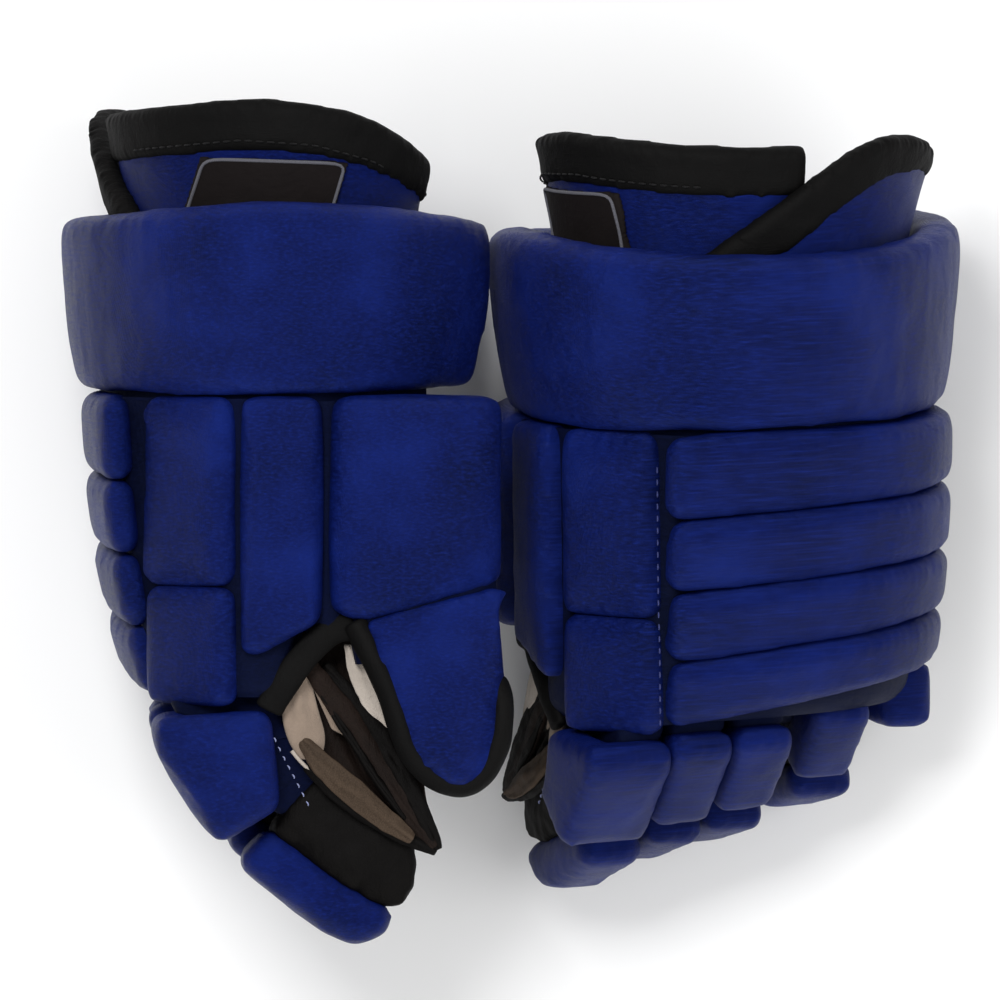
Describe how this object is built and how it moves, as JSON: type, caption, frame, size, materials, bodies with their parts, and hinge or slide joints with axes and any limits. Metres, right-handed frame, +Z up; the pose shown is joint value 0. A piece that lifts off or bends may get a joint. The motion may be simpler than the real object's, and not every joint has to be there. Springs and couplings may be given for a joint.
{
  "type": "ice hockey gloves",
  "caption": "Pair of padded ice hockey gloves with segmented back rolls, flared wrist cuffs, curled fingers, guarded thumbs and leather palms.",
  "frame": {"origin": "on the floor under the middle of the pair", "axes": "+Z up from the floor, fingers towards -Y and cuffs towards +Y, right-hand glove at -X on its little-finger side, left-hand glove at +X palm down"},
  "size_m": [0.3737, 0.3458, 0.1966],
  "materials": {
    "blue_nylon": "satin",
    "blue_cloth": "matte",
    "black_binding": "satin",
    "palm_leather": "satin",
    "cream_lining": "matte",
    "label": "matte"
  },
  "bodies": {
    "right_hand": {"right_hand_shell": "blue_cloth", "right_palm": "palm_leather", "right_liner": "cream_lining", "right_back_rolls": "blue_nylon", "right_side_pads": "blue_nylon", "right_little_side_pad": "blue_nylon"},
    "right_cuff": {"right_cuff_roll": "blue_nylon", "right_thumb_side_flap": "blue_nylon", "right_little_side_flap": "blue_nylon", "right_flap_bindings": "black_binding", "right_label_patch": "label"},
    "right_thumb_base": {"right_thumb_base_guard": "blue_nylon"},
    "right_thumb_tip": {"right_thumb_tip_guard": "blue_nylon", "right_thumb_binding": "black_binding"},
    "right_index_base": {"right_index_pad": "blue_nylon", "right_index_gusset": "blue_cloth"},
    "right_index_tip": {"right_index_tip_pad": "blue_nylon", "right_index_tip_cup": "palm_leather"},
    "right_middle_base": {"right_middle_pad": "blue_nylon", "right_middle_gusset": "blue_cloth"},
    "right_middle_tip": {"right_middle_tip_pad": "blue_nylon", "right_middle_tip_cup": "palm_leather"},
    "right_ring_base": {"right_ring_pad": "blue_nylon", "right_ring_gusset": "blue_cloth"},
    "right_ring_tip": {"right_ring_tip_pad": "blue_nylon", "right_ring_tip_cup": "palm_leather"},
    "right_little_base": {"right_little_pad": "blue_nylon", "right_little_gusset": "blue_cloth"},
    "right_little_tip": {"right_little_tip_pad": "blue_nylon", "right_little_tip_cup": "palm_leather"},
    "left_hand": {"left_hand_shell": "blue_cloth", "left_palm": "palm_leather", "left_liner": "cream_lining", "left_back_rolls": "blue_nylon", "left_side_pads": "blue_nylon", "left_little_side_pad": "blue_nylon"},
    "left_cuff": {"left_cuff_roll": "blue_nylon", "left_thumb_side_flap": "blue_nylon", "left_little_side_flap": "blue_nylon", "left_flap_bindings": "black_binding", "left_label_patch": "label"},
    "left_thumb_base": {"left_thumb_base_guard": "blue_nylon"},
    "left_thumb_tip": {"left_thumb_tip_guard": "blue_nylon", "left_thumb_binding": "black_binding"},
    "left_index_base": {"left_index_pad": "blue_nylon", "left_index_gusset": "blue_cloth"},
    "left_index_tip": {"left_index_tip_pad": "blue_nylon", "left_index_tip_cup": "palm_leather"},
    "left_middle_base": {"left_middle_pad": "blue_nylon", "left_middle_gusset": "blue_cloth"},
    "left_middle_tip": {"left_middle_tip_pad": "blue_nylon", "left_middle_tip_cup": "palm_leather"},
    "left_ring_base": {"left_ring_pad": "blue_nylon", "left_ring_gusset": "blue_cloth"},
    "left_ring_tip": {"left_ring_tip_pad": "blue_nylon", "left_ring_tip_cup": "palm_leather"},
    "left_little_base": {"left_little_pad": "blue_nylon", "left_little_gusset": "blue_cloth"},
    "left_little_tip": {"left_little_tip_pad": "blue_nylon", "left_little_tip_cup": "palm_leather"}
  },
  "joints": [
    {"name": "right_wrist_flex", "type": "hinge", "parent": "right_hand", "child": "right_cuff", "pos_m": [-0.01168, 0.05429, 0.08448], "axis": [-0.0872, 0.0382, -0.9955], "range_deg": [0, 4], "stiffness_Nm_per_rad": 12},
    {"name": "right_thumb_fold", "type": "hinge", "parent": "right_hand", "child": "right_thumb_base", "pos_m": [-0.07206, 0.0072, 0.16129], "axis": [0, -0.9993, -0.0384], "range_deg": [-24, 5], "stiffness_Nm_per_rad": 4},
    {"name": "right_thumb_bend", "type": "hinge", "parent": "right_thumb_base", "child": "right_thumb_tip", "pos_m": [-0.03213, -0.03142, 0.15731], "axis": [-0.9665, -0.2456, 0.0752], "range_deg": [-40, 2], "stiffness_Nm_per_rad": 2},
    {"name": "right_index_knuckle", "type": "hinge", "parent": "right_hand", "child": "right_index_base", "pos_m": [-0.09494, -0.07519, 0.14907], "axis": [0.0872, -0.0382, 0.9955], "range_deg": [-2.5, 18], "stiffness_Nm_per_rad": 3},
    {"name": "right_index_fingertip", "type": "hinge", "parent": "right_index_base", "child": "right_index_tip", "pos_m": [-0.07725, -0.10039, 0.14656], "axis": [0.0872, -0.0382, 0.9955], "range_deg": [-8, 30], "stiffness_Nm_per_rad": 1.5},
    {"name": "right_middle_knuckle", "type": "hinge", "parent": "right_hand", "child": "right_middle_base", "pos_m": [-0.09717, -0.07201, 0.12358], "axis": [0.0872, -0.0382, 0.9955], "range_deg": [-2.5, 18], "stiffness_Nm_per_rad": 3},
    {"name": "right_middle_fingertip", "type": "hinge", "parent": "right_middle_base", "child": "right_middle_tip", "pos_m": [-0.08406, -0.09312, 0.12162], "axis": [0.0872, -0.0382, 0.9955], "range_deg": [-8, 30], "stiffness_Nm_per_rad": 1.5},
    {"name": "right_ring_knuckle", "type": "hinge", "parent": "right_hand", "child": "right_ring_base", "pos_m": [-0.09966, -0.07052, 0.09522], "axis": [0.0872, -0.0382, 0.9955], "range_deg": [-2.5, 18], "stiffness_Nm_per_rad": 3},
    {"name": "right_ring_fingertip", "type": "hinge", "parent": "right_ring_base", "child": "right_ring_tip", "pos_m": [-0.08754, -0.08788, 0.09349], "axis": [0.0872, -0.0382, 0.9955], "range_deg": [-8, 30], "stiffness_Nm_per_rad": 1.5},
    {"name": "right_little_knuckle", "type": "hinge", "parent": "right_hand", "child": "right_little_base", "pos_m": [-0.10297, -0.06187, 0.05762], "axis": [0.0872, -0.0382, 0.9955], "range_deg": [-2.5, 18], "stiffness_Nm_per_rad": 3},
    {"name": "right_little_fingertip", "type": "hinge", "parent": "right_little_base", "child": "right_little_tip", "pos_m": [-0.08749, -0.07497, 0.05576], "axis": [0.0872, -0.0382, 0.9955], "range_deg": [-8, 30], "stiffness_Nm_per_rad": 1.5},
    {"name": "left_wrist_flex", "type": "hinge", "parent": "left_hand", "child": "left_cuff", "pos_m": [0.06033, 0.05777, 0.00171], "axis": [-0.9266, -0.0618, 0.371], "range_deg": [0, 8], "stiffness_Nm_per_rad": 12},
    {"name": "left_thumb_fold", "type": "hinge", "parent": "left_hand", "child": "left_thumb_base", "pos_m": [0.01833, 0.0012, 0.08417], "axis": [-0.0104, 0.9902, 0.1392], "range_deg": [-5, 12], "stiffness_Nm_per_rad": 4},
    {"name": "left_thumb_bend", "type": "hinge", "parent": "left_thumb_base", "child": "left_thumb_tip", "pos_m": [0.01075, -0.03179, 0.03994], "axis": [-0.1724, 0.3714, -0.9124], "range_deg": [-4, 8], "stiffness_Nm_per_rad": 2},
    {"name": "left_index_knuckle", "type": "hinge", "parent": "left_hand", "child": "left_index_base", "pos_m": [0.03766, -0.08286, 0.08877], "axis": [0.9266, 0.0618, -0.371], "range_deg": [-2.5, 4], "stiffness_Nm_per_rad": 3},
    {"name": "left_index_fingertip", "type": "hinge", "parent": "left_index_base", "child": "left_index_tip", "pos_m": [0.03061, -0.09324, 0.06944], "axis": [0.9266, 0.0618, -0.371], "range_deg": [-8, 4], "stiffness_Nm_per_rad": 1.5},
    {"name": "left_middle_knuckle", "type": "hinge", "parent": "left_hand", "child": "left_middle_base", "pos_m": [0.06144, -0.07909, 0.07954], "axis": [0.9266, 0.0618, -0.371], "range_deg": [-2.5, 4], "stiffness_Nm_per_rad": 3},
    {"name": "left_middle_fingertip", "type": "hinge", "parent": "left_middle_base", "child": "left_middle_tip", "pos_m": [0.0564, -0.08534, 0.06591], "axis": [0.9266, 0.0618, -0.371], "range_deg": [-8, 4], "stiffness_Nm_per_rad": 1.5},
    {"name": "left_ring_knuckle", "type": "hinge", "parent": "left_hand", "child": "left_ring_base", "pos_m": [0.08785, -0.07693, 0.06902], "axis": [0.9266, 0.0618, -0.371], "range_deg": [-2.5, 4], "stiffness_Nm_per_rad": 3},
    {"name": "left_ring_fingertip", "type": "hinge", "parent": "left_ring_base", "child": "left_ring_tip", "pos_m": [0.08338, -0.08019, 0.05731], "axis": [0.9266, 0.0618, -0.371], "range_deg": [-8, 4], "stiffness_Nm_per_rad": 1.5},
    {"name": "left_little_knuckle", "type": "hinge", "parent": "left_hand", "child": "left_little_base", "pos_m": [0.12303, -0.06745, 0.05591], "axis": [0.9266, 0.0618, -0.371], "range_deg": [-2.5, 4], "stiffness_Nm_per_rad": 3},
    {"name": "left_little_fingertip", "type": "hinge", "parent": "left_little_base", "child": "left_little_tip", "pos_m": [0.1176, -0.06756, 0.04233], "axis": [0.9266, 0.0618, -0.371], "range_deg": [-8, 4], "stiffness_Nm_per_rad": 1.5},
    {"name": "left_glove_slide", "type": "slide", "parent": "right_hand", "child": "left_hand", "axis": [1, 0, 0], "range_m": [0, 0.15]}
  ]
}
